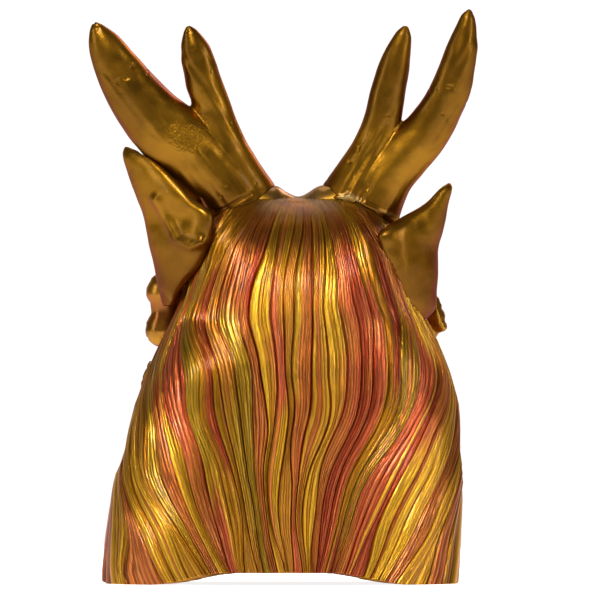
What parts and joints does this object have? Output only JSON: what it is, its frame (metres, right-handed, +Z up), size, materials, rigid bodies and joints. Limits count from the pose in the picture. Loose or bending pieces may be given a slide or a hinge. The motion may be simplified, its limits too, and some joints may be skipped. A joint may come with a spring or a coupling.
{
  "type": "dragon mask",
  "caption": "Moulded latex dragon mask that covers the whole head, with a combed mane down the back, forked antlers, pointed ears and an open toothed mouth.",
  "frame": {"origin": "on the floor, at the middle of the mask's box, where the neck rim rests", "axes": "+Z up through the crown, face towards -Y, the combed back of the hair towards +Y"},
  "size_m": [0.3322, 0.3112, 0.4931],
  "materials": {
    "hair_latex": "pearlescent gold paint with coral and olive streaks over moulded latex",
    "gold_latex": "pearlescent brown-gold paint over smooth latex"
  },
  "bodies": {
    "root": {"head": "hair_latex", "antler_left": "gold_latex", "antler_right": "gold_latex", "ear_left": "gold_latex", "ear_right": "gold_latex"}
  },
  "joints": []
}
